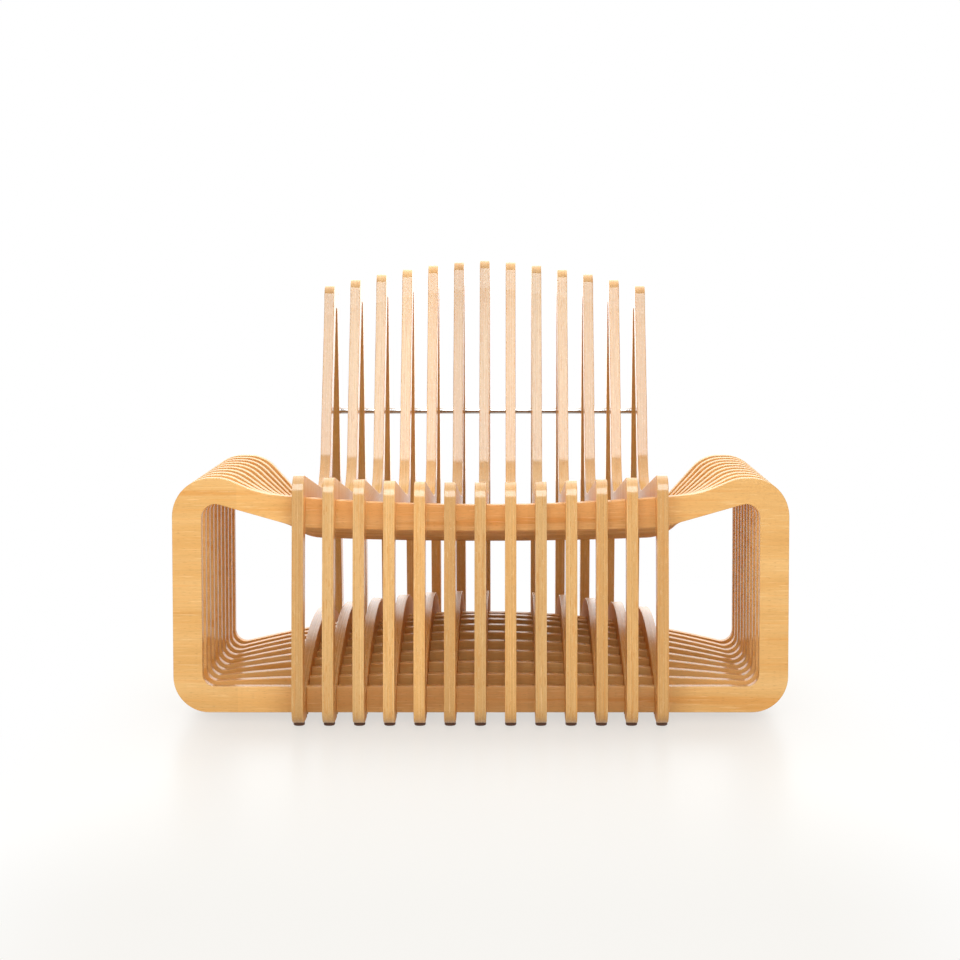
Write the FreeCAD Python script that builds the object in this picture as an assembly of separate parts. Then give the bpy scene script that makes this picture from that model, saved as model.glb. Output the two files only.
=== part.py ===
import FreeCAD, Part
import math
import os

from FreeCAD import Vector

# A lounge chair of plywood sheets on edge: ribs that run front to back, halved into rings that run
# side to side. +X is the chair's left-to-right width seen from the front, the front faces -Y, +Z is up.
# The origin lies on the floor under the middle of the chair. Millimetres throughout.

# Overall sizes
overall_width = 987.0
overall_depth = 885.0
overall_height = 738.0

# Sheet, spacing and fits
ply = 18.0
rib_count = 13
arm_room = 205.5  # from the side of the chair to the middle of the outer rib
ring_count = 10
ring_setback = 76.0  # from the front of the feet to the face of the first ring
ring_clearance = 27.0  # from the last ring to the corner of seat and back
lap_slack = 0.15  # each side of a sheet in its notch
rod_slack = 0.2  # round the rod in its bores
dowel_slack = 0.1  # round a dowel and at its ends
cut_overrun = 5.0  # how far every cutter runs past what it cuts

# Glides under the feet
glide_diameter = 18.0
glide_height = 5.5
glide_chamfer = 1.2
glide_setback = 27.0  # from the tip of the toe to the glide

# Rib: legs
front_leg_depth = 39.0
rear_leg_depth = 44.0
toe_radius = 28.0
shin_height = 70.0  # up to here both legs rise plumb
shin_radius = 500.0
leg_lean = 30.0  # the front leg's top stands this far behind its foot
hock_tuck = 50.0  # the rear leg's back edge comes forward this far up to the rod
hock_radius = 1500.0
joint_height = 36.0  # where the legs stand on the base

# Rib: seat and back
seat_front_height = 389.5
seat_rear_height = 307.0
back_room = 332.0  # from the corner of seat and back to the back of the chair
seat_bar = 56.0
seat_dish = 11.0  # the outer ribs' seat lies this much higher than the middle one's
knee_radius = 30.0
knee_inner_radius = 20.0
lap_radius = 105.0
lap_under_radius = 104.0
lumbar_height = 465.0
lumbar_setback = 47.0  # behind the corner of seat and back
lumbar_radius = 1500.0
back_bar = 44.0
back_recline = 21.2  # degrees from upright, above the lumbar bend

# Rib: head
head_height = 46.0
head_depth = 110.0
head_band = 42.0  # from the crest down to the opening
head_recline = 8.7  # degrees
neck_radius = 60.0
nose_radius = 22.0
crown_radius = 55.0
crest_drop = 47.0  # the outer ribs' crest lies this much lower than the middle one's
crest_power = 1.5

# Rib: base
foot_length = 95.0  # flat underside of each foot
base_bar = 58.0
arch_height = 149.0  # top of the middle rib's arch
arch_drop = 32.0  # the outer ribs' arch lies this much lower

# Ring
ring_lift = 12.0  # clear of the floor
upright = 47.0
ring_foot_radius = 58.0
ring_shoulder_radius = 62.0
rail = 42.0
rail_rise = 54.5  # the highest bottom rail bows up by this at its middle
rail_flat = 5.5  # level underside between a rail's bow and the bend of its foot
rail_inner_radius = 20.0
arm_height = 390.0
arm_inner_radius = 22.0
seat_rail = 43.0
rib_proud = 32.5  # how far the ribs' seat stands above the seat rails
under_dish = 5.0
brow_radius = 60.0

# Ring: sizes that change evenly from the first ring to the last
first_brow_inset, last_brow_inset = 82.5, 101.5  # from the side to where the arm begins to fall
first_hollow_inset, last_hollow_inset = 140.5, 187.5  # to where that fall meets the seat rail
first_hollow_radius, last_hollow_radius = 140.0, 70.0
first_under_inset, last_under_inset = 203.5, 171.5  # to the same bend on the rail's underside
first_under_radius, last_under_radius = 150.0, 80.0
first_arm_band, last_arm_band = 35.0, 24.0  # from the arm's top to the opening's sharp corner

# Tie rod and its ends
rod_diameter = 12.0
rod_height = 451.0
washer_diameter = 26.0
washer_thickness = 1.5
cap_diameter = 22.0
cap_length = 9.0
cap_grip = 6.0  # how far the rod goes into its cap
cap_edge_radius = 3.0

# Dowels between the legs and the base
dowel_diameter = 8.0
dowel_length = 40.0
dowel_in_leg_share = 0.55

# How much of the room beside it a free bend takes
full_bend_share = 0.97
straight_turn = 1e-4  # radians, under which a corner is no corner

front = -overall_depth / 2
back = overall_depth / 2
side = overall_width / 2
seat_depth = overall_depth - back_room  # from the toe to the corner of seat and back
outer_rib = side - arm_room
rib_pitch = 2 * outer_rib / (rib_count - 1)
ring_pitch = (seat_depth - ring_setback - ring_clearance - ply) / (ring_count - 1)
rail_reach = side - ring_foot_radius - rail_flat  # the bow ends this far from the middle


def rounded(corners, closed):
    """Edges along (point, radius) corners; a radius of None takes the room that its sides leave."""
    count = len(corners)
    points = [point for point, radius in corners]
    turning = range(count) if closed else range(1, count - 1)
    sides = [(points[(i + 1) % count] - points[i]).Length for i in range(count)]
    turns = [0.0] * count
    for i in turning:
        turns[i] = (points[i] - points[i - 1]).getAngle(points[(i + 1) % count] - points[i])
    wanted = [0.0] * count
    for i in turning:
        if corners[i][1] is not None and turns[i] > straight_turn:
            wanted[i] = corners[i][1] * math.tan(turns[i] / 2)
    reaches = list(wanted)
    for i in turning:
        for room, neighbour in ((sides[i - 1], i - 1), (sides[i], (i + 1) % count)):
            both = wanted[i] + wanted[neighbour]
            if both > room:
                reaches[i] = min(reaches[i], wanted[i] * full_bend_share * room / both)
    for i in turning:
        if corners[i][1] is None and turns[i] > straight_turn:
            before = sides[i - 1] - reaches[i - 1]
            after = sides[i] - reaches[(i + 1) % count]
            reaches[i] = full_bend_share * min(before, after)
    edges = []
    leaving = None
    first_entry = points[0]
    for i in range(count):
        if reaches[i]:
            inward = (points[i - 1] - points[i]).normalize()
            onward = (points[(i + 1) % count] - points[i]).normalize()
            entry = points[i] + inward * reaches[i]
            exit_point = points[i] + onward * reaches[i]
            radius = reaches[i] / math.tan(turns[i] / 2)
            sink = radius / math.cos(turns[i] / 2) - radius
            middle = points[i] + (inward + onward).normalize() * sink
        else:
            entry = exit_point = points[i]
        if i == 0:
            first_entry = entry
        if leaving is not None:
            edges.append(Part.LineSegment(leaving, entry).toShape())
        if reaches[i]:
            edges.append(Part.Arc(entry, middle, exit_point).toShape())
        leaving = exit_point
    if closed:
        edges.append(Part.LineSegment(leaving, first_entry).toShape())
    return edges


def sheet(outer, thickness, holes=()):
    """A sheet of the given thickness inside one closed run of edges, less the closed runs in holes."""
    wires = [Part.Wire(Part.sortEdges(run)[0]) for run in [outer, *holes]]
    return Part.makeFace(wires, "Part::FaceMakerBullseye").extrude(thickness)


def meet(a, b, c, first_inset, second_inset):
    """Where the lines a-b and b-c meet, each moved to its right-hand side by its inset."""
    along = (b - a).normalize()
    onward = (c - b).normalize()
    right_of_along = along.cross(Vector(1, 0, 0))
    right_of_onward = onward.cross(Vector(1, 0, 0))
    start = b + right_of_along * first_inset
    goal = b + right_of_onward * second_inset
    travel = (goal - start).dot(right_of_onward) / along.dot(right_of_onward)
    return start + along * travel


def level_cut(a, b, height):
    """The point of the line a-b at a height."""
    return a + (b - a) * ((height - a.z) / (b.z - a.z))


def arch_level(along, half_span, foot, crest):
    """Height at a distance from the middle of the circular arch that springs at foot."""
    bow = crest - foot
    radius = (half_span * half_span + bow * bow) / (2 * bow)
    return foot + bow - radius + math.sqrt(radius * radius - along * along)


# Where the ribs and rings stand

def rib_x(index):
    """Middle of a rib's thickness."""
    return rib_pitch * index - outer_rib


def rib_share(index):
    """How far out a rib stands: 0 in the middle, 1 at the outermost."""
    return abs(rib_x(index)) / outer_rib


def ring_y(index):
    """Front face of a ring."""
    return front + ring_setback + ring_pitch * index


def ring_share(index):
    """How far back a ring stands: 0 at the first, 1 at the last."""
    return index / (ring_count - 1)


def graded(first, last, index):
    """A ring's own value between the first ring's and the last ring's."""
    return first + (last - first) * ring_share(index)


def dish(across):
    """How much the seat rises at a distance from its middle."""
    return seat_dish * (across / outer_rib) ** 2


def seat_level(y):
    """Top of the middle rib's seat bar."""
    fall_share = (y - front - leg_lean) / (seat_depth - leg_lean)
    return seat_front_height + (seat_rear_height - seat_front_height) * fall_share


def seat_rail_top(index, across):
    """Top of a ring's seat rail."""
    return seat_level(ring_y(index) + ply / 2) - rib_proud + dish(across)


def rail_bow(index):
    """How much a ring's bottom rail bows up: most under the crest of the ribs' arch."""
    run = (ring_pitch * index) / (-ring_y(0) - ply / 2)
    return rail_rise * math.sin(math.pi / 2 * run)


def rail_bottom(index, across):
    """Underside of a ring's bottom rail."""
    return ring_lift + rail_bow(index) * (1 - (across / rail_reach) ** 2)


def base_bottom(index, y):
    """Underside of a rib's base bar."""
    half_span = back - foot_length
    if abs(y) >= half_span:
        return glide_height
    crest = arch_height - arch_drop * rib_share(index) ** 2 - base_bar
    return arch_level(y, half_span, glide_height, crest)


def seat_lap(rib, ring):
    """Height at which a rib frame and a ring share their crossing."""
    slope = (seat_front_height - seat_rear_height) / (seat_depth - leg_lean)
    rib_bottom = seat_rail_top(ring, rib_x(rib)) + rib_proud - seat_bar * math.hypot(slope, 1)
    return (rib_bottom + seat_rail_top(ring, rib_x(rib))) / 2


def base_lap(rib, ring):
    """Height at which a rib base and a ring share their crossing."""
    rail_under = rail_bottom(ring, rib_x(rib))
    rib_under = base_bottom(rib, ring_y(ring) + ply / 2)
    return (max(rail_under, rib_under) + rail_under + rail) / 2


# Cutters

def slot_in_rib(rib, ring, floor, ceiling):
    """The room that a ring takes in a rib, between two heights."""
    width = ply + 2 * lap_slack
    corner = Vector(rib_x(rib) - ply / 2 - cut_overrun, ring_y(ring) - lap_slack, floor)
    return Part.makeBox(ply + 2 * cut_overrun, width, ceiling - floor, corner)


def slot_in_ring(rib, ring, floor, ceiling):
    """The room that a rib takes in a ring, between two heights."""
    width = ply + 2 * lap_slack
    corner = Vector(rib_x(rib) - width / 2, ring_y(ring) - cut_overrun, floor)
    return Part.makeBox(width, ply + 2 * cut_overrun, ceiling - floor, corner)


def dowel_places(index):
    """Where a rib's two dowels start, at their lower ends."""
    bottom = joint_height - dowel_length * (1 - dowel_in_leg_share)
    front_place = Vector(rib_x(index), front + front_leg_depth / 2, bottom)
    rear_place = Vector(rib_x(index), back - rear_leg_depth / 2, bottom)
    return [front_place, rear_place]


def dowel_bores(index):
    """The two bores for a rib's dowels, through the joint."""
    bores = []
    for place in dowel_places(index):
        start = place - Vector(0, 0, dowel_slack)
        radius = dowel_diameter / 2 + dowel_slack
        bores.append(Part.makeCylinder(radius, dowel_length + 2 * dowel_slack, start))
    return bores


def rod_y():
    """The rod runs in the middle of the rear legs."""
    return back - hock_tuck - rear_leg_depth / 2


# Sub-parts

def rib_frame(index):
    """Front leg, seat bar, back bar, head and rear leg, open at the bottom."""
    def at(y, z):
        return Vector(rib_x(index) - ply / 2, y, z)

    crest = overall_height - crest_drop * rib_share(index) ** crest_power
    lift = dish(rib_x(index))
    recline = math.tan(math.radians(back_recline))
    front_foot = at(front, joint_height)
    shin = at(front, shin_height)
    knee = at(front + leg_lean, seat_front_height + lift)
    lap = at(front + seat_depth, seat_rear_height + lift)
    lumbar = at(front + seat_depth + lumbar_setback, lumbar_height)
    neck_height = crest - head_height
    neck = at(lumbar.y + (neck_height - lumbar_height) * recline, neck_height)
    nose = at(neck.y + head_height * math.tan(math.radians(head_recline)), crest)
    crown = at(nose.y + head_depth, crest)
    hock = at(back - hock_tuck, rod_height)
    heel = at(back, shin_height)
    rear_foot = at(back, joint_height)

    shin_in = meet(front_foot, shin, knee, front_leg_depth, front_leg_depth)
    knee_in = meet(shin, knee, lap, front_leg_depth, seat_bar)
    lap_in = meet(knee, lap, lumbar, seat_bar, back_bar)
    lumbar_in = meet(lap, lumbar, neck, back_bar, back_bar)
    neck_in = lumbar_in + (neck - lumbar)
    hock_in = meet(crown, hock, heel, rear_leg_depth, rear_leg_depth)
    heel_in = meet(hock, heel, rear_foot, rear_leg_depth, rear_leg_depth)
    rear_line = hock_in - (hock - crown)
    opening_top = crest - head_band
    top_front_in = level_cut(lumbar_in, neck_in, opening_top)
    top_rear_in = level_cut(hock_in, rear_line, opening_top)
    top_width = top_rear_in.y - top_front_in.y
    lean_in = (neck_in - lumbar_in).getAngle(Vector(0, 0, 1))
    lean_out = (rear_line - hock_in).getAngle(Vector(0, 0, 1))
    quarter = math.pi / 4
    round_top = math.tan(quarter + lean_in / 2) + math.tan(quarter + lean_out / 2)
    top_radius = full_bend_share * top_width / round_top

    corners = [
        (front_foot, 0), (shin, shin_radius), (knee, knee_radius), (lap, lap_radius),
        (lumbar, lumbar_radius), (neck, neck_radius), (nose, nose_radius), (crown, crown_radius),
        (hock, hock_radius), (heel, shin_radius), (rear_foot, 0),
        (rear_foot - Vector(0, rear_leg_depth, 0), 0), (heel_in, shin_radius), (hock_in, hock_radius),
        (top_rear_in, top_radius), (top_front_in, top_radius), (lumbar_in, lumbar_radius),
        (lap_in, lap_under_radius), (knee_in, knee_inner_radius), (shin_in, shin_radius),
        (front_foot + Vector(0, front_leg_depth, 0), 0),
    ]
    frame = sheet(rounded(corners, True), Vector(ply, 0, 0))
    cutters = dowel_bores(index)
    for ring in range(ring_count):
        floor = seat_rail_top(ring, rib_x(index)) - rail - seat_bar
        cutters.append(slot_in_rib(index, ring, floor, seat_lap(index, ring)))
    bore_start = Vector(rib_x(index) - ply / 2 - cut_overrun, rod_y(), rod_height)
    bore_length = ply + 2 * cut_overrun
    bore_radius = rod_diameter / 2 + rod_slack
    cutters.append(Part.makeCylinder(bore_radius, bore_length, bore_start, Vector(1, 0, 0)))
    return frame.cut(cutters)


def rib_base(index):
    """The arched bar with both feet that a rib frame stands on."""
    def at(y, z):
        return Vector(rib_x(index) - ply / 2, y, z)

    crest = arch_height - arch_drop * rib_share(index) ** 2
    arch_front = at(front + front_leg_depth, joint_height)
    arch_back = at(back - rear_leg_depth, joint_height)
    arch_middle = at((arch_front.y + arch_back.y) / 2, crest)
    under_front = at(front + foot_length, glide_height)
    under_back = at(back - foot_length, glide_height)
    under_middle = at(0, crest - base_bar)
    toe = [
        (under_front, 0), (at(front, glide_height), toe_radius),
        (at(front, joint_height), 0), (arch_front, 0),
    ]
    heel = [
        (arch_back, 0), (at(back, joint_height), 0),
        (at(back, glide_height), toe_radius), (under_back, 0),
    ]
    edges = rounded(toe, False) + [Part.Arc(arch_front, arch_middle, arch_back).toShape()]
    edges += rounded(heel, False) + [Part.Arc(under_back, under_middle, under_front).toShape()]
    base = sheet(edges, Vector(ply, 0, 0))
    cutters = dowel_bores(index)
    for ring in range(ring_count):
        cutters.append(slot_in_rib(index, ring, -cut_overrun, base_lap(index, ring)))
    return base.cut(cutters)


def ring(index):
    """Bottom rail, uprights, arm humps and seat rail of one ring."""
    def mirrored(corners):
        """The corners for +X, then their mirror images in reverse order."""
        left = [(Vector(-point.x, point.y, point.z), radius) for point, radius in reversed(corners)]
        return corners + left

    def at(x, z):
        return Vector(x, ring_y(index), z)

    bow = rail_bow(index)
    brow = side - graded(first_brow_inset, last_brow_inset, index)
    hollow = side - graded(first_hollow_inset, last_hollow_inset, index)
    under = side - graded(first_under_inset, last_under_inset, index)
    middle_top = seat_rail_top(index, 0)
    hollow_radius = graded(first_hollow_radius, last_hollow_radius, index)
    outer_half = mirrored([
        (at(rail_reach, ring_lift), None),
        (at(side, ring_lift), ring_foot_radius),
        (at(side, arm_height), ring_shoulder_radius),
        (at(brow, arm_height), brow_radius),
        (at(hollow, middle_top + dish(hollow)), hollow_radius),
    ])
    top_apex = (at(0, middle_top - dish(hollow)), None)
    bottom_apex = (at(0, ring_lift + 2 * bow), None)
    outer = outer_half[:5] + [top_apex] + outer_half[5:] + [bottom_apex]

    inside = side - upright
    rail_top = ring_lift + rail
    side_level = rail_top - 2 * bow * (inside - rail_reach) / rail_reach
    middle_under = middle_top - seat_rail
    under_lift = under_dish * (under / outer_rib) ** 2
    arm_under = arm_height - graded(first_arm_band, last_arm_band, index)
    under_radius = graded(first_under_radius, last_under_radius, index)
    inner_half = mirrored([
        (at(inside, side_level), rail_inner_radius),
        (at(inside, arm_under), arm_inner_radius),
        (at(under, middle_under + under_lift), under_radius),
    ])
    under_apex = (at(0, middle_under - under_lift), None)
    rail_apex = (at(0, rail_top + 2 * bow), None)
    inner = inner_half[:3] + [under_apex] + inner_half[3:] + [rail_apex]

    blank = sheet(rounded(outer, True), Vector(0, ply, 0), [rounded(inner, True)])
    cutters = []
    for rib in range(rib_count):
        top = seat_rail_top(index, rib_x(rib)) + seat_rail
        cutters.append(slot_in_ring(rib, index, seat_lap(rib, index), top))
        rail_over = rail_bottom(index, rib_x(rib)) + 2 * rail
        cutters.append(slot_in_ring(rib, index, base_lap(rib, index), rail_over))
    return blank.cut(cutters)


def tie_rod():
    """The steel rod across all ribs."""
    half_length = outer_rib + ply / 2 + washer_thickness + cap_grip
    start = Vector(-half_length, rod_y(), rod_height)
    return Part.makeCylinder(rod_diameter / 2, 2 * half_length, start, Vector(1, 0, 0))


def rod_washers():
    """A flat washer against the outer face of each outer rib."""
    washers = []
    for way in (-1, 1):
        start = Vector(way * (outer_rib + ply / 2), rod_y(), rod_height)
        disc = Part.makeCylinder(washer_diameter / 2, washer_thickness, start, Vector(way, 0, 0))
        bore_radius = rod_diameter / 2 + rod_slack
        washers.append(disc.cut(Part.makeCylinder(bore_radius, washer_thickness, start, Vector(way, 0, 0))))
    return Part.makeCompound(washers)


def rod_end_caps():
    """A low round cap on each end of the rod, with a blind bore."""
    caps = []
    for way in (-1, 1):
        start = Vector(way * (outer_rib + ply / 2 + washer_thickness), rod_y(), rod_height)
        body = Part.makeCylinder(cap_diameter / 2, cap_length, start, Vector(way, 0, 0))
        end_edges = [edge for edge in body.Edges if edge.BoundBox.XLength < cap_edge_radius]
        outermost = max(end_edges, key=lambda edge: abs(edge.BoundBox.Center.x))
        body = body.makeFillet(cap_edge_radius, [outermost])
        caps.append(body.cut(Part.makeCylinder(rod_diameter / 2, cap_grip, start, Vector(way, 0, 0))))
    return Part.makeCompound(caps)


def glides(y):
    """A round glide under each rib, with a chamfered edge where it meets the floor."""
    pieces = []
    for index in range(rib_count):
        radius = glide_diameter / 2
        rim = radius - glide_chamfer
        cone = Part.makeCone(rim, radius, glide_chamfer, Vector(rib_x(index), y, 0))
        top = Vector(rib_x(index), y, glide_chamfer)
        disc = Part.makeCylinder(radius, glide_height - glide_chamfer, top)
        pieces.append(cone.fuse(disc).removeSplitter())
    return Part.makeCompound(pieces)


def leg_dowels():
    """The dowels that hold each frame on its base."""
    pieces = []
    for index in range(rib_count):
        for place in dowel_places(index):
            pieces.append(Part.makeCylinder(dowel_diameter / 2, dowel_length, place))
    return Part.makeCompound(pieces)


def build():
    """Every node by name."""
    nodes = {}
    for index in range(rib_count):
        nodes[f"rib_{index + 1:02d}_frame"] = rib_frame(index)
        nodes[f"rib_{index + 1:02d}_base"] = rib_base(index)
    for index in range(ring_count):
        nodes[f"ring_{index + 1:02d}"] = ring(index)
    glide_middle = glide_setback + glide_diameter / 2
    nodes["tie_rod"] = tie_rod()
    nodes["rod_washers"] = rod_washers()
    nodes["rod_end_caps"] = rod_end_caps()
    nodes["front_glides"] = glides(front + glide_middle)
    nodes["rear_glides"] = glides(back - glide_middle)
    nodes["leg_dowels"] = leg_dowels()
    return nodes


os.makedirs("parts", exist_ok=True)
for name, shape in build().items():
    shape.exportStep(f"parts/{name}.step")
    print(name, len(shape.Solids), "solids", round(shape.Volume), "mm3", "valid" if shape.isValid() else "BAD")
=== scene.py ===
"""Slatted plywood lounge chair on a white studio floor.

Thirteen plywood ribs stand side by side and cross ten plywood rings in halvings. Each sheet is
dressed as an eased copy of its solid, with the layers, grain and lacquer of birch plywood. A
polished rod ties the ribs at mid back, and dark glides carry the feet.
"""

import logging
import math
import random
from dataclasses import dataclass
from enum import Enum

import bmesh
import bpy
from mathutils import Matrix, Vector


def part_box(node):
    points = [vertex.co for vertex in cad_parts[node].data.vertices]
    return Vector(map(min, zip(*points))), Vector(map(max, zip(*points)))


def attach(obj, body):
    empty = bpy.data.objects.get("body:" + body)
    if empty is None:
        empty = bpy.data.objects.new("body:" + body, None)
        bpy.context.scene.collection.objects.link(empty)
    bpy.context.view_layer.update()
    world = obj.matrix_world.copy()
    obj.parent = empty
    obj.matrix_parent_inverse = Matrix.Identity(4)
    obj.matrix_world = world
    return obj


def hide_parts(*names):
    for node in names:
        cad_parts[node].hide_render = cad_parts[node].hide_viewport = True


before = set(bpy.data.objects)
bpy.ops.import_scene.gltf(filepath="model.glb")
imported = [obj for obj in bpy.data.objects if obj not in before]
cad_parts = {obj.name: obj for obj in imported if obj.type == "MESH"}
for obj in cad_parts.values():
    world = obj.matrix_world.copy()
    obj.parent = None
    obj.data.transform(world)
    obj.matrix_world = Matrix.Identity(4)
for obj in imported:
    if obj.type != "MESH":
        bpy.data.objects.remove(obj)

log = logging.getLogger("lounge_chair")

Socket = bpy.types.NodeSocket
Range = tuple[float, float]
Triple = tuple[float, float, float]
Colour = tuple[float, float, float, float]

BODY = "root"
MM = 0.001
RIB_COUNT = 13
RING_COUNT = 10
PLY = 2 * MM
WHITE: Colour = (1.0, 1.0, 1.0, 1.0)


class SheetRun(Enum):
    """Which way a sheet stands: its axes along the grain, across it and through the sheet."""

    RIB = "ZYX"
    RING = "XZY"

    @property
    def through(self) -> int:
        """Index of the axis through the sheet's thickness."""
        return "XYZ".index(self.value[2])

    @property
    def crossed(self) -> int:
        """Index of the axis along which the other set of sheets stands one behind the other."""
        return 1 - self.through


class NodeBench:
    """Places and wires shader nodes in one tree."""

    def __init__(self, tree: bpy.types.NodeTree) -> None:
        """Start work on a tree.

        Args:
            tree: the material's or group's node tree, emptied by the caller.
        """
        self.tree = tree

    def place(self, kind: str, **settings: object) -> bpy.types.Node:
        """Add one node.

        Args:
            kind: the node's type name.
            settings: attributes that the node is given.

        Returns:
            The new node.
        """
        node = self.tree.nodes.new(kind)
        for name, value in settings.items():
            setattr(node, name, value)
        return node

    def feed(self, socket: Socket, value: object) -> None:
        """Give a socket a constant, or wire another socket into it.

        Args:
            socket: the input socket.
            value: an output socket, or a constant.
        """
        if isinstance(value, Socket):
            self.tree.links.new(value, socket)
        else:
            socket.default_value = value

    def feed_all(self, node: bpy.types.Node, **values: object) -> None:
        """Feed a node's inputs by name.

        Args:
            node: the node.
            values: sockets or constants, by the input's name with _ for each space.
        """
        for name, value in values.items():
            self.feed(node.inputs[name.replace("_", " ")], value)

    def math(self, operation: str, *values: object, clamp: bool = False) -> Socket:
        """Work out one number.

        Args:
            operation: the Math node's operation.
            values: its inputs, sockets or numbers.
            clamp: keep the result between 0 and 1.

        Returns:
            The result's socket.
        """
        node = self.place("ShaderNodeMath", operation=operation, use_clamp=clamp)
        for socket, value in zip(node.inputs, values):
            self.feed(socket, value)
        return node.outputs[0]

    def sway(self, middle: object, noise: object, amount: object) -> Socket:
        """Let a number swing about its middle value as noise goes from 0 to 1.

        Args:
            middle: the number at a noise of 0.5.
            noise: the noise's socket.
            amount: how far it swings from end to end.

        Returns:
            The swinging number's socket.
        """
        return self.math("MULTIPLY_ADD", self.math("SUBTRACT", noise, 0.5), amount, middle)

    def between(self, share: object, first: object, second: object) -> Socket:
        """Blend two numbers by a share.

        Args:
            share: 0 gives the first, 1 the second.
            first: a number or socket.
            second: a number or socket.

        Returns:
            The blended number's socket.
        """
        node = self.place("ShaderNodeMix", data_type="FLOAT")
        for index, value in zip((0, 2, 3), (share, first, second)):
            self.feed(node.inputs[index], value)
        return node.outputs[0]

    def blend(self, share: object, first: object, second: object, mode: str = "MIX") -> Socket:
        """Blend two colours by a share.

        Args:
            share: how much of the second colour.
            first: a colour or socket.
            second: a colour or socket.
            mode: the Mix node's blend type.

        Returns:
            The blended colour's socket.
        """
        node = self.place("ShaderNodeMix", data_type="RGBA", blend_type=mode)
        for index, value in zip((0, 6, 7), (share, first, second)):
            self.feed(node.inputs[index], value)
        return node.outputs[2]

    def ramp(self, value: object, low: float, high: float) -> Socket:
        """Rise smoothly from 0 at the low value to 1 at the high one.

        Args:
            value: a number or socket.
            low: where the rise starts.
            high: where it ends.

        Returns:
            The share's socket.
        """
        node = self.place("ShaderNodeMapRange", interpolation_type="SMOOTHSTEP")
        for socket, given in zip(node.inputs, (value, low, high, 0.0, 1.0)):
            self.feed(socket, given)
        return node.outputs[0]

    def vector(self, x: object, y: object, z: object) -> Socket:
        """Join three numbers to a vector.

        Args:
            x: the first number or socket.
            y: the second.
            z: the third.

        Returns:
            The vector's socket.
        """
        node = self.place("ShaderNodeCombineXYZ")
        for socket, value in zip(node.inputs, (x, y, z)):
            self.feed(socket, value)
        return node.outputs[0]

    def parts(self, vector: object) -> list[Socket]:
        """Split a vector into its three numbers.

        Args:
            vector: the vector's socket.

        Returns:
            The sockets of its x, y and z.
        """
        node = self.place("ShaderNodeSeparateXYZ")
        self.feed(node.inputs[0], vector)
        return list(node.outputs)

    def noise(self, vector: object, detail: float, rough: float) -> Socket:
        """Soft noise between 0 and 1 with cells of size one.

        Args:
            vector: where it is read.
            detail: octaves of finer noise.
            rough: how strong the finer octaves are.

        Returns:
            The noise's socket.
        """
        node = self.place("ShaderNodeTexNoise", noise_dimensions="3D")
        self.feed_all(node, Vector=vector, Scale=1.0, Detail=detail, Roughness=rough)
        return node.outputs[0]

    def dice(self, vector: object) -> Socket:
        """One random number from 0 to 1 for each value of a vector."""
        node = self.place("ShaderNodeTexWhiteNoise", noise_dimensions="3D")
        self.feed(node.inputs["Vector"], vector)
        return node.outputs[0]

    def emboss(
        self, shader: bpy.types.Node, height: Socket, strength: float, distance: float
    ) -> None:
        """Give a shader a fine relief.

        Args:
            shader: the Principled shader.
            height: the relief's height, from 0 to about 1.
            strength: how strongly it shows.
            distance: how far a height of 1 rises, in metres.
        """
        bump = self.place("ShaderNodeBump")
        self.feed_all(bump, Strength=strength, Distance=distance, Height=height)
        self.feed(shader.inputs["Normal"], bump.outputs[0])

    def seen_rays(self) -> Socket:
        """1 for the rays of the picture, of mirrors and of glass, and 0 for the others."""
        path = self.place("ShaderNodeLightPath")
        seen = self.math("MAXIMUM", path.outputs["Is Camera Ray"], path.outputs["Is Glossy Ray"])
        return self.math("MAXIMUM", seen, path.outputs["Is Transmission Ray"])


@dataclass(frozen=True)
class GroupSockets:
    """The named inputs and outputs of a shader node group, each with its socket's type."""

    inputs: dict[str, str]
    outputs: dict[str, str]

    def open(
        self, name: str
    ) -> tuple[bpy.types.NodeTree, NodeBench, dict[str, Socket], bpy.types.Node]:
        """Make the group with its sockets.

        Args:
            name: the group's name.

        Returns:
            The tree, a bench on it, the input sockets by name and the output node.
        """
        tree = bpy.data.node_groups.new(name, "ShaderNodeTree")
        for way, sockets in (("INPUT", self.inputs), ("OUTPUT", self.outputs)):
            for label, kind in sockets.items():
                tree.interface.new_socket(label, in_out=way, socket_type=kind)
        bench = NodeBench(tree)
        entry = bench.place("NodeGroupInput")
        leave = bench.place("NodeGroupOutput")
        return tree, bench, {socket.name: socket for socket in entry.outputs}, leave


@dataclass(frozen=True)
class Streaks:
    """Noise drawn out along the grain: its cells in a metre along and beside it, and its detail."""

    along: float
    beside: float
    detail: float
    rough: float
    start: float


@dataclass(frozen=True)
class Mark:
    """A colour that shows where streaks are strong."""

    strong: Range
    share: float
    colour: Colour


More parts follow.
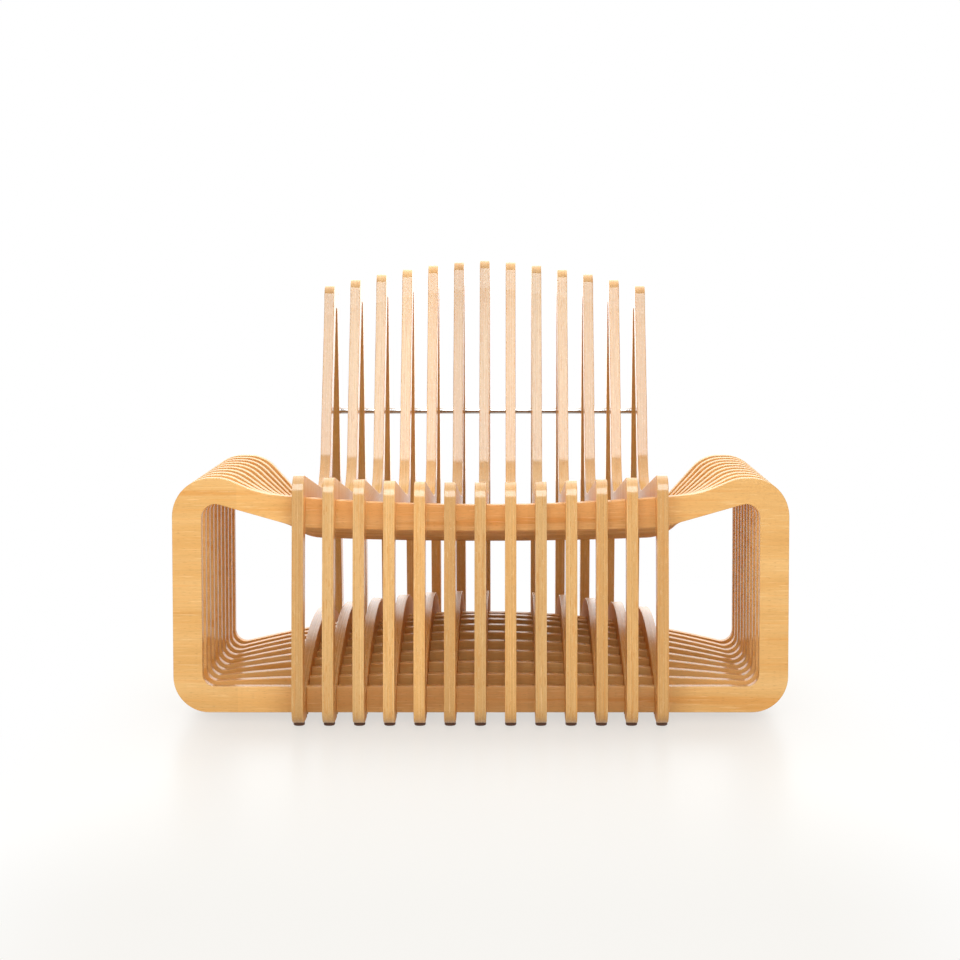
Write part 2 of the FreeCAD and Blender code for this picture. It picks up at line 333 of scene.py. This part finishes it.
class SheetPlace:
    """Where a point lies in its sheet: its layer, and its place along and beside the grain."""

    layer_shift = 3.71

    def __init__(self, bench: NodeBench, given: dict[str, Socket]) -> None:
        """Work out the place.

        Args:
            bench: the bench on the group's tree.
            given: the group's input sockets by name.
        """
        self.bench = b = bench
        along, across, self.depth = b.parts(given["Place"])
        facing_along, facing_across, facing_through = b.parts(given["Facing"])
        self.layer = b.math("FLOOR", b.math("DIVIDE", self.depth, PLY))
        crossed = b.math("MODULO", b.math("ABSOLUTE", self.layer), 2.0)
        self.run = b.between(crossed, along, across)
        self.beside = b.between(crossed, across, along)
        self.end_share = b.math("ABSOLUTE", b.between(crossed, facing_along, facing_across))
        self.face_share = b.math("ABSOLUTE", facing_through)
        self.shift = b.math("MULTIPLY_ADD", self.layer, self.layer_shift, given["Seed"])

    def read(self, streaks: Streaks) -> Socket:
        """Read one kind of streaks here.

        Args:
            streaks: the kind.

        Returns:
            The noise's socket.
        """
        b = self.bench
        start = b.math("ADD", self.shift, streaks.start)
        place = b.vector(
            b.math("MULTIPLY_ADD", self.run, streaks.along, start),
            b.math("MULTIPLY", self.beside, streaks.beside),
            b.math("MULTIPLY", self.depth, streaks.beside),
        )
        return b.noise(place, streaks.detail, streaks.rough)


@dataclass(frozen=True)
class PlywoodGroup:
    """The look of lacquered birch plywood, from a place in the sheet and the way a face looks."""

    fibre: Streaks = Streaks(along=16.0, beside=900.0, detail=2.0, rough=0.6, start=0.0)
    grain: Streaks = Streaks(along=3.2, beside=150.0, detail=3.0, rough=0.55, start=11.0)
    figure: Streaks = Streaks(along=1.1, beside=26.0, detail=2.0, rough=0.5, start=23.0)
    fleck: Streaks = Streaks(along=110.0, beside=1300.0, detail=0.0, rough=0.5, start=37.0)
    heart: Streaks = Streaks(along=1.7, beside=48.0, detail=1.5, rough=0.45, start=51.0)
    silver: Streaks = Streaks(along=22.0, beside=420.0, detail=1.0, rough=0.5, start=67.0)
    strips_a_metre: float = 4.3

    light: Colour = (0.805, 0.490, 0.192, 1.0)
    middle: Colour = (0.718, 0.392, 0.126, 1.0)
    warm: Colour = (0.655, 0.296, 0.070, 1.0)
    end_grain: Colour = (0.560, 0.280, 0.078, 1.0)
    light_to_middle: Range = (0.05, 0.55)
    middle_to_warm: Range = (0.50, 1.05)
    end_grain_share: float = 0.25
    bands: Mark = Mark(strong=(0.54, 0.76), share=0.60, colour=warm)
    heart_streaks: Mark = Mark(strong=(0.57, 0.68), share=0.70, colour=(0.690, 0.315, 0.075, 1.0))
    pale_flecks: Mark = Mark(strong=(0.58, 0.74), share=0.45, colour=(0.900, 0.620, 0.300, 1.0))
    dark_flecks: Mark = Mark(strong=(0.64, 0.78), share=0.32, colour=(0.36, 0.16, 0.045, 1.0))

    fibre_shade: float = 0.20
    grain_shade: float = 0.20
    strip_shade: float = 0.09
    glue_width: float = 0.16 * MM
    glue_shade: float = 0.16
    face_turn: Range = (0.6, 0.9)
    roughness: float = 0.36
    grain_roughness: float = 0.14
    end_roughness: float = 0.05
    grain_height: float = 0.6

    def build(self) -> bpy.types.NodeTree:
        """Build the shared node group.

        Returns:
            The group's tree.
        """
        numbers = (
            "Seed", "Tone", "Warmth", "Figure", "Edge Lacquer", "Face Lacquer", "Face Tone",
        )
        sockets = GroupSockets(
            inputs={
                "Place": "NodeSocketVector",
                "Facing": "NodeSocketVector",
                **{label: "NodeSocketFloat" for label in numbers},
            },
            outputs={
                "Color": "NodeSocketColor",
                **{label: "NodeSocketFloat" for label in ("Roughness", "Lacquer", "Height")},
            },
        )
        tree, b, given, leave = sockets.open("birch plywood")
        here = SheetPlace(b, given)
        fibre, grain = here.read(self.fibre), here.read(self.grain)
        faces = b.ramp(here.face_share, *self.face_turn)

        colour = self.tint(b, given, here, grain)
        shade = self.shade(b, given, here, (fibre, grain))
        # The faces take the coat's brightness in place of the sheet's own tone; any rise above the
        # veneer's even tone is painted light.
        shade = b.math("MULTIPLY", shade, b.between(faces, given["Tone"], given["Face Tone"]))
        rough = b.sway(self.roughness, grain, self.grain_roughness)
        b.feed_all(
            leave,
            Color=b.blend(1.0, colour, b.vector(shade, shade, shade), "MULTIPLY"),
            Roughness=b.math("MULTIPLY_ADD", here.end_share, self.end_roughness, rough),
            Lacquer=b.between(faces, given["Edge Lacquer"], given["Face Lacquer"]),
            Height=b.math("MULTIPLY_ADD", grain, self.grain_height, fibre),
        )
        return tree

    def tint(
        self, b: NodeBench, given: dict[str, Socket], here: SheetPlace, grain: Socket
    ) -> Socket:
        """Colour the wood, with its bands, heart streaks, flecks and end grain.

        Args:
            b: the bench on the group's tree.
            given: the group's input sockets by name.
            here: the place in the sheet.
            grain: the grain's noise.

        Returns:
            The colour's socket.
        """
        def lay(mark: Mark, noise: Socket, strength: object = 1.0) -> Socket:
            """Lay one kind of mark over the colour so far."""
            share = b.math("MULTIPLY", strength, mark.share)
            return b.blend(
                b.math("MULTIPLY", b.ramp(noise, *mark.strong), share), colour, mark.colour
            )

        warmth = b.sway(given["Warmth"], here.read(self.figure), given["Figure"])
        colour = b.blend(b.ramp(warmth, *self.light_to_middle), self.light, self.middle)
        colour = b.blend(b.ramp(warmth, *self.middle_to_warm), colour, self.warm)
        colour = lay(self.bands, grain, given["Figure"])
        colour = lay(self.heart_streaks, here.read(self.heart), given["Figure"])
        colour = lay(self.pale_flecks, here.read(self.silver))
        end_share = b.math("MULTIPLY", b.math("POWER", here.end_share, 2.0), self.end_grain_share)
        colour = b.blend(end_share, colour, self.end_grain)
        return lay(self.dark_flecks, here.read(self.fleck))

    def shade(
        self, b: NodeBench, given: dict[str, Socket], here: SheetPlace,
        streaks: tuple[Socket, Socket],
    ) -> Socket:
        """Shade the wood by its fibre, grain, strips and glue lines.

        Args:
            b: the bench on the group's tree.
            given: the group's input sockets by name.
            here: the place in the sheet.
            streaks: the fibre's and the grain's noise.

        Returns:
            The socket of a factor about 1.
        """
        fibre, grain = streaks
        along = b.math("MULTIPLY_ADD", here.run, self.strips_a_metre, given["Seed"])
        strip = b.dice(b.vector(b.math("FLOOR", along), here.layer, given["Seed"]))
        shade = b.sway(1.0, fibre, self.fibre_shade)
        shade = b.sway(shade, grain, self.grain_shade)
        shade = b.sway(shade, strip, self.strip_shade)
        from_glue = b.math("PINGPONG", here.depth, PLY / 2)
        glue = b.math("SUBTRACT", 1.0, b.ramp(from_glue, 0.0, self.glue_width))
        on_edge = b.math("SUBTRACT", 1.0, here.face_share, clamp=True)
        glue = b.math("MULTIPLY", b.math("MULTIPLY", glue, on_edge), self.glue_shade)
        return b.math("SUBTRACT", shade, glue)


@dataclass(frozen=True)
class SheetCoat:
    """The lacquer on one kind of sheet: how it lies on edges and faces, how matt it is, and how
    bright its faces are, partly as painted light.
    """

    edges: float
    faces: float
    # brightness of the faces: the veneer's even tone, raised further on the frames as painted light
    face_lit_tone: float
    roughness: float


@dataclass(frozen=True)
class PlywoodFinish:
    """Clear satin lacquer on one birch plywood sheet, with the sheet's own look."""

    run: SheetRun
    face: float
    seed: float
    tone: float
    warmth: float
    figure: float
    relief: float = 0.25
    relief_height: float = 0.1 * MM

    def material(
        self, name: str, group: bpy.types.NodeTree, coat: SheetCoat
    ) -> bpy.types.Material:
        """Make the material.

        Args:
            name: the material's name.
            group: the shared plywood group.
            coat: the lacquer.

        Returns:
            The new material.
        """
        made, b, shader = open_material(name)
        coords = b.place("ShaderNodeTexCoord")
        offset = [0.0, 0.0, 0.0]
        offset[self.run.through] = -self.face
        moved = b.place("ShaderNodeMapping", vector_type="POINT")
        b.feed_all(moved, Vector=coords.outputs["Object"], Location=offset)
        order = ["XYZ".index(letter) for letter in self.run.value]
        place = b.parts(moved.outputs[0])
        facing = b.parts(coords.outputs["Normal"])
        wood = b.place("ShaderNodeGroup", node_tree=group)
        b.feed_all(
            wood,
            Place=b.vector(*[place[i] for i in order]),
            Facing=b.vector(*[facing[i] for i in order]),
            Seed=self.seed, Tone=self.tone, Warmth=self.warmth, Figure=self.figure,
            Edge_Lacquer=coat.edges, Face_Lacquer=coat.faces, Face_Tone=coat.face_lit_tone,
        )
        b.feed_all(
            shader,
            Base_Color=wood.outputs["Color"], Roughness=wood.outputs["Roughness"],
            Specular_IOR_Level=0.0, Coat_Weight=wood.outputs["Lacquer"],
            Coat_Roughness=coat.roughness,
        )
        b.emboss(shader, wood.outputs["Height"], self.relief, self.relief_height)
        return made


@dataclass(frozen=True)
class SheetLooks:
    """The ranges from which each sheet of a set draws its own look."""

    first_seed: float
    tone: Range
    warmth: Range
    figure: Range
    seed_step: float = 10.0

    def draw(
        self, chance: random.Random, number: int, run: SheetRun, face: float
    ) -> PlywoodFinish:
        """Draw one sheet's look.

        Args:
            chance: the set's random numbers.
            number: the sheet's number in its set.
            run: which way the sheet stands.
            face: where its first face lies.

        Returns:
            The sheet's finish.
        """
        return PlywoodFinish(
            run=run,
            face=face,
            seed=self.first_seed + self.seed_step * number + chance.random(),
            tone=chance.uniform(*self.tone),
            warmth=chance.uniform(*self.warmth),
            figure=chance.uniform(*self.figure),
        )


@dataclass(frozen=True)
class PlainFinish:
    """A finish whose colour and gloss change a little over the surface."""

    dark: Colour
    light: Colour
    metallic: float
    roughness: float
    spread: float
    cells: Triple
    relief_height: float
    relief: float = 0.3
    detail: float = 3.0
    finer: float = 0.6
    dark_to_light: Range = (0.25, 0.75)

    def material(self, name: str) -> bpy.types.Material:
        """Make the material.

        Args:
            name: the material's name.

        Returns:
            The new material.
        """
        made, b, shader = open_material(name)
        coords = b.place("ShaderNodeTexCoord")
        scaled = b.place("ShaderNodeMapping")
        b.feed_all(scaled, Vector=coords.outputs["Object"], Scale=self.cells)
        texture = b.noise(scaled.outputs[0], self.detail, self.finer)
        b.feed_all(
            shader,
            Base_Color=b.blend(b.ramp(texture, *self.dark_to_light), self.dark, self.light),
            Metallic=self.metallic,
            Roughness=b.sway(self.roughness, texture, self.spread),
        )
        b.emboss(shader, texture, self.relief, self.relief_height)
        return made


POLISHED_STEEL = PlainFinish(
    dark=(0.46, 0.44, 0.42, 1.0), light=(0.56, 0.54, 0.52, 1.0), metallic=1.0,
    roughness=0.16, spread=0.08, cells=(40.0, 900.0, 900.0), relief_height=0.01 * MM,
)
GLIDE_PLASTIC = PlainFinish(
    dark=(0.085, 0.033, 0.016, 1.0), light=(0.13, 0.055, 0.028, 1.0), metallic=0.0,
    roughness=0.6, spread=0.15, cells=(700.0, 700.0, 700.0), relief_height=0.08 * MM,
)
BARE_BEECH = PlainFinish(
    dark=(0.52, 0.33, 0.18, 1.0), light=(0.70, 0.50, 0.32, 1.0), metallic=0.0,
    roughness=0.6, spread=0.1, cells=(900.0, 900.0, 60.0), relief_height=0.1 * MM,
)


def open_material(name: str) -> tuple[bpy.types.Material, NodeBench, bpy.types.Node]:
    """Make a material that holds a plain Principled shader.

    Args:
        name: the material's name.

    Returns:
        The material, a bench on its tree and the shader node.
    """
    made = bpy.data.materials.new(name)
    made.use_nodes = True
    made.node_tree.nodes.clear()
    bench = NodeBench(made.node_tree)
    shader = bench.place("ShaderNodeBsdfPrincipled")
    output = bench.place("ShaderNodeOutputMaterial")
    bench.feed(output.inputs["Surface"], shader.outputs[0])
    return made, bench, shader


@dataclass(frozen=True)
class EasedSheet:
    """One plywood sheet whose arrises are eased by hand, as a copy of its solid."""

    node: str
    run: SheetRun
    crossings: list[Range]
    kept_heights: tuple[float, ...] = ()
    bores: tuple[Triple, ...] = ()
    ease: float = 1.2 * MM
    steps: int = 3
    slack: float = 0.15 * MM
    reach: float = 0.02 * MM
    merge: float = 0.002 * MM
    flat_within: float = math.radians(0.15)
    arris_from: float = math.radians(60)
    crease_from: float = math.radians(40)
    square_to_face: float = 0.99
    flat_weight: int = 90

    def in_halving(self, low: Vector, high: Vector) -> bool:
        """Whether an edge lies in one of the sheet's halvings.

        Args:
            low: one end of the edge.
            high: its other end.

        Returns:
            True if both ends lie on the two walls of one halving.
        """
        axis = self.run.crossed
        for first, last in self.crossings:
            walls = (first - self.slack, last + self.slack)
            if all(min(abs(end[axis] - wall) for wall in walls) < self.reach
                   for end in (low, high)):
                return True
        return False

    def is_arris(self, edge: bmesh.types.BMEdge) -> bool:
        """Whether an edge is one that a maker would ease.

        Args:
            edge: the edge.

        Returns:
            True for an outer edge of the sheet's two faces, away from its joints and bores.
        """
        if len(edge.link_faces) != 2 or edge.calc_face_angle(0.0) < self.arris_from:
            return False
        through = self.run.through
        if max(abs(face.normal[through]) for face in edge.link_faces) < self.square_to_face:
            return False
        low, high = ends = [vertex.co for vertex in edge.verts]
        if any(all(abs(end.z - z) < self.reach for end in ends) for z in self.kept_heights):
            return False
        for y, z, radius in self.bores:
            if all(math.hypot(end.y - y, end.z - z) < radius for end in ends):
                return False
        return not self.in_halving(low, high)

    def build(self, material: bpy.types.Material) -> None:
        """Make the eased sheet, which stands for its node.

        Args:
            material: the sheet's finish.
        """
        shape = bmesh.new()
        shape.from_mesh(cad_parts[self.node].data)
        bmesh.ops.remove_doubles(shape, verts=shape.verts, dist=self.merge)
        bmesh.ops.dissolve_limit(
            shape, angle_limit=self.flat_within, verts=shape.verts, edges=shape.edges
        )
        arrises = [edge for edge in shape.edges if self.is_arris(edge)]
        bmesh.ops.bevel(
            shape, geom=arrises, offset=self.ease, offset_type="OFFSET", segments=self.steps,
            profile=0.5, material=-1, affect="EDGES", clamp_overlap=False,
        )
        for face in shape.faces:
            face.smooth = True
        for edge in shape.edges:
            edge.smooth = edge.calc_face_angle(0.0) < self.crease_from
        made = finish_piece("sheet_" + self.node, shape)
        weigh = made.modifiers.new("even normals", "WEIGHTED_NORMAL")
        weigh.keep_sharp = True
        weigh.weight = self.flat_weight
        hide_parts(self.node)
        made.data.materials.append(material)


def finish_piece(name: str, shape: bmesh.types.BMesh) -> bpy.types.Object:
    """Turn a bmesh into a piece of the chair.

    Args:
        name: the piece's name.
        shape: the bmesh, which is freed.

    Returns:
        The new object, riding on the chair's one body.
    """
    made = show_shape(name, shape)
    solid_normals = made.data.attributes.get("custom_normal")
    if solid_normals is not None:
        made.data.attributes.remove(solid_normals)
    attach(made, BODY)
    return made


def show_shape(name: str, shape: bmesh.types.BMesh) -> bpy.types.Object:
    """Turn a bmesh into an object of the scene.

    Args:
        name: the object's name.
        shape: the bmesh, which is freed.

    Returns:
        The new object.
    """
    mesh = bpy.data.meshes.new(name)
    shape.to_mesh(mesh)
    shape.free()
    made = bpy.data.objects.new(name, mesh)
    bpy.context.scene.collection.objects.link(made)
    return made


def spans(prefix: str, count: int, axis: int, ending: str = "") -> list[Range]:
    """Where a row of sheets stands.

    Args:
        prefix: what the nodes' names start with.
        count: how many there are.
        axis: the axis to read.
        ending: what the names end with.

    Returns:
        The low and high coordinate of each sheet.
    """
    boxes = [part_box(f"{prefix}_{number:02d}{ending}") for number in range(1, count + 1)]
    return [(low[axis], high[axis]) for low, high in boxes]


@dataclass(frozen=True)
class Ribs:
    """The thirteen ribs, each a frame of seat, back and legs on an arched base."""

    joint_height: float = 36 * MM
    rod_radius: float = 6.2 * MM
    bore_margin: float = 1 * MM
    seed: int = 7
    looks: SheetLooks = SheetLooks(
        first_seed=0.0, tone=(0.76, 0.99), warmth=(0.22, 0.62), figure=(0.8, 1.2)
    )
    # The frames' faces are brighter than the bases' as painted light: the frames' sides take light
    # from above, while the bases' arches lie in the seat's shade.
    frame_coat: SheetCoat = SheetCoat(edges=1.0, faces=0.9, face_lit_tone=1.08, roughness=0.18)
    base_coat: SheetCoat = SheetCoat(edges=1.0, faces=0.2, face_lit_tone=1.03, roughness=0.25)

    def build(self, group: bpy.types.NodeTree) -> None:
        """Make and dress each rib.

        Args:
            group: the shared plywood group.
        """
        crossings = spans("ring", RING_COUNT, 1)
        low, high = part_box("tie_rod")
        middle = (low + high) / 2
        bore = (middle.y, middle.z, self.rod_radius + self.bore_margin)
        chance = random.Random(self.seed)
        for number in range(1, RIB_COUNT + 1):
            rib = f"rib_{number:02d}"
            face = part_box(rib + "_base")[0].x
            finish = self.looks.draw(chance, number, SheetRun.RIB, face)
            for ending, coat in (("frame", self.frame_coat), ("base", self.base_coat)):
                node = f"{rib}_{ending}"
                kept = (self.joint_height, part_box(node)[0].z)
                title = f"plywood rib {number:02d} {ending}"
                sheet = EasedSheet(node, SheetRun.RIB, crossings, kept, (bore,))
                sheet.build(finish.material(title, group, coat))
            log.info("rib %02d: frame and base eased and lacquered", number)


@dataclass(frozen=True)
class Rings:
    """The ten rings that cross the ribs, each with its rail, arms and seat rail."""

    seed: int = 19
    looks: SheetLooks = SheetLooks(
        first_seed=200.0, tone=(0.97, 1.04), warmth=(0.28, 0.42), figure=(0.9, 1.1)
    )
    coat: SheetCoat = SheetCoat(edges=0.55, faces=0.4, face_lit_tone=1.03, roughness=0.18)

    def build(self, group: bpy.types.NodeTree) -> None:
        """Make and dress each ring.

        Args:
            group: the shared plywood group.
        """
        crossings = spans("rib", RIB_COUNT, 0, "_base")
        chance = random.Random(self.seed)
        for number in range(1, RING_COUNT + 1):
            node = f"ring_{number:02d}"
            finish = self.looks.draw(chance, number, SheetRun.RING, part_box(node)[0].y)
            sheet = EasedSheet(node, SheetRun.RING, crossings)
            sheet.build(finish.material(f"plywood ring {number:02d}", group, self.coat))
            log.info("ring %02d: eased and lacquered", number)


@dataclass(frozen=True)
class Hardware:
    """The steel rod with its washers and caps, the glides and the hidden dowels."""

    steel: tuple[str, ...] = ("tie_rod", "rod_washers", "rod_end_caps")
    glides: tuple[str, ...] = ("front_glides", "rear_glides")
    dowels: tuple[str, ...] = ("leg_dowels",)

    def build(self) -> None:
        """Dress each piece of hardware."""
        for names, finish, title in (
            (self.steel, POLISHED_STEEL, "polished steel"),
            (self.glides, GLIDE_PLASTIC, "glide plastic"),
            (self.dowels, BARE_BEECH, "bare beech"),
        ):
            material = finish.material(title)
            for name in names:
                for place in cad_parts[name].material_slots:
                    place.material = material
                log.info("%s: %s", name, title)


@dataclass(frozen=True)
class Softbox:
    """A soft panel that lights the chair, or that only its lacquer mirrors."""

    name: str
    at: Triple
    target: Triple
    size: tuple[float, float]
    watts: float
    lights: bool = True
    mirrored: bool = True
    tint: Triple = (1.0, 0.985, 0.96)

    def build(self) -> None:
        """Hang the panel where it points at its target."""
        lamp = bpy.data.lights.new(self.name, "AREA")
        lamp.shape = "RECTANGLE"
        lamp.size, lamp.size_y = self.size
        lamp.energy = self.watts
        lamp.color = self.tint
        holder = bpy.data.objects.new(self.name, lamp)
        holder.location = self.at
        aim = Vector(self.target) - Vector(self.at)
        holder.rotation_euler = aim.to_track_quat("-Z", "Y").to_euler()
        holder.visible_camera = False
        holder.visible_diffuse = self.lights
        holder.visible_glossy = self.mirrored
        bpy.context.scene.collection.objects.link(holder)


SOFTBOXES = (
    Softbox(
        "key softbox", at=(0.0, -1.9, 0.80), target=(0.0, 0.0, 0.38),
        size=(1.4, 1.0), watts=15.5, mirrored=False,
    ),
    Softbox(
        "top softbox", at=(0.0, 1.0, 2.6), target=(0.0, 0.0, 0.4),
        size=(3.4, 2.0), watts=86.0, mirrored=False,
    ),
    Softbox(
        "high reflector", at=(0.0, -1.175, 1.383), target=(0.0, -0.368, 0.792),
        size=(1.8, 0.927), watts=47.0, lights=False, tint=(0.78, 0.92, 1.0),
    ),
    Softbox(
        "top reflector", at=(0.0, 0.6, 2.7), target=(0.0, 0.6, 0.3),
        size=(3.0, 3.7), watts=62.0, lights=False,
    ),
    Softbox(
        "backdrop reflector", at=(0.0, 3.4, 1.6), target=(0.0, 0.0, 0.9),
        size=(7.0, 3.4), watts=80.0, lights=False,
    ),
)


@dataclass(frozen=True)
class WhiteFloor:
    """The white floor, which keeps the chair's shadow, bears a cream tint of painted shade and warm
    bounce near the chair, and fades to the background.
    """

    size: float = 14.0
    paint: Colour = (0.70, 0.69, 0.66, 1.0)
    roughness: float = 0.30
    specular: float = 0.5
    # cream tint of the floor's glow near the chair: painted shade and warm bounce from the wood
    painted_shade: Colour = (0.935, 0.918, 0.885, 1.0)
    painted_shade_ends_beside: Range = (0.36, 0.74)
    painted_shade_ends_behind: Range = (0.3, 1.2)
    painted_shade_ends_before: Range = (1.65, 2.6)
    shadow_ends_before: Range = (0.5, 1.5)
    glow_under_chair: float = 0.66

    def build(self) -> None:
        """Lay the floor."""
        shape = bmesh.new()
        bmesh.ops.create_grid(shape, x_segments=1, y_segments=1, size=self.size / 2)
        floor = show_shape("floor", shape)
        made, b, shader = open_material("white floor")
        b.feed_all(
            shader, Base_Color=self.paint, Roughness=self.roughness,
            Specular_IOR_Level=self.specular,
        )
        coords = b.place("ShaderNodeTexCoord")
        x, y, _ = b.parts(coords.outputs["Object"])
        before = b.math("MULTIPLY", y, -1.0)
        beyond = b.math(
            "MAXIMUM",
            b.ramp(b.math("ABSOLUTE", x), *self.painted_shade_ends_beside),
            b.ramp(y, *self.painted_shade_ends_behind),
        )
        beyond = b.math("MAXIMUM", beyond, b.ramp(before, *self.painted_shade_ends_before))
        bright = b.math("MAXIMUM", beyond, b.ramp(before, *self.shadow_ends_before))
        glow = b.between(bright, self.glow_under_chair, 1.0)
        # Near the chair the glow takes the cream tint, which is painted shade and warm bounce on
        # the floor; further out it is white.
        light = b.place("ShaderNodeEmission")
        b.feed_all(light, Color=b.blend(beyond, self.painted_shade, WHITE), Strength=1.0)
        mixed = b.place("ShaderNodeMixShader")
        share = b.math("MULTIPLY", b.seen_rays(), glow)
        for socket, value in zip(mixed.inputs, (share, shader.outputs[0], light.outputs[0])):
            b.feed(socket, value)
        output = next(node for node in b.tree.nodes if node.type == "OUTPUT_MATERIAL")
        b.feed(output.inputs["Surface"], mixed.outputs[0])
        floor.data.materials.append(made)


@dataclass(frozen=True)
class Studio:
    """White floor and background, soft lights and the camera."""

    floor: WhiteFloor = WhiteFloor()
    softboxes: tuple[Softbox, ...] = SOFTBOXES
    world_strength: float = 0.62
    camera_at: Triple = (0.046915, -3.963668, 0.726905)
    camera_pitch: float = 3.4511
    camera_reach: float = 50.0
    lens: float = 84.829
    sensor: float = 36.0
    shift: tuple[float, float] = (-0.03125, -0.0802)

    def build(self) -> None:
        """Set up the whole studio."""
        self.floor.build()
        self.light_world()
        for softbox in self.softboxes:
            softbox.build()
        self.aim_camera()
        bpy.context.scene.view_settings.view_transform = "Standard"
        log.info("studio: floor, world, softboxes and camera")

    def light_world(self) -> None:
        """Give the world a plain light, and white where it is seen or mirrored."""
        world = bpy.data.worlds.new("white studio")
        bpy.context.scene.world = world
        world.use_nodes = True
        world.node_tree.nodes.clear()
        b = NodeBench(world.node_tree)
        background = b.place("ShaderNodeBackground")
        strength = b.between(b.seen_rays(), self.world_strength, 1.0)
        b.feed_all(background, Color=WHITE, Strength=strength)
        output = b.place("ShaderNodeOutputWorld")
        b.feed(output.inputs["Surface"], background.outputs[0])

    def aim_camera(self) -> None:
        """Place the camera where the photograph was taken from."""
        camera = bpy.data.cameras.new("camera")
        camera.lens = self.lens
        camera.sensor_width = self.sensor
        camera.shift_x, camera.shift_y = self.shift
        camera.clip_end = self.camera_reach
        holder = bpy.data.objects.new("camera", camera)
        holder.location = self.camera_at
        holder.rotation_euler = (math.radians(90 - self.camera_pitch), 0.0, 0.0)
        bpy.context.scene.collection.objects.link(holder)
        bpy.context.scene.camera = holder


def main() -> None:
    """Build the chair and its studio."""
    logging.basicConfig(level=logging.INFO, format="%(name)s: %(message)s")
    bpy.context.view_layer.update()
    group = PlywoodGroup().build()
    Ribs().build(group)
    Rings().build(group)
    Hardware().build()
    Studio().build()


if __name__ == "__main__":
    main()
